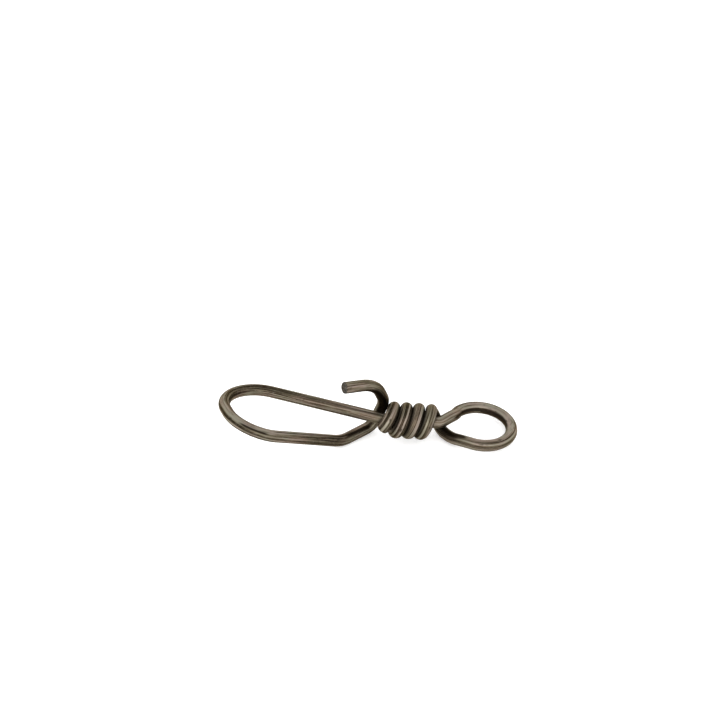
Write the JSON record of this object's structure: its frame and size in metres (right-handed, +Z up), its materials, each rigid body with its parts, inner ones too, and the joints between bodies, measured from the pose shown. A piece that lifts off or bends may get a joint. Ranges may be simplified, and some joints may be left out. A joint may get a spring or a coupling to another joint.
{
  "type": "fishing snap",
  "caption": "Bent-wire fishing snap: a pear-shaped loop closed by a hook round its own leg, a short wrapped coil and a round line eye.",
  "frame": {"origin": "bottom centre of the box round the snap as it lies on a table", "axes": "+X along the snap from the loop to the line eye, +Y to the side the leg leans to, +Z up"},
  "size_m": [0.0251, 0.0078, 0.007],
  "materials": {
    "spring_wire": "dark satin black-nickel spring wire with drawn lines"
  },
  "bodies": {
    "root": {"snap_wire": "spring_wire"}
  },
  "joints": []
}
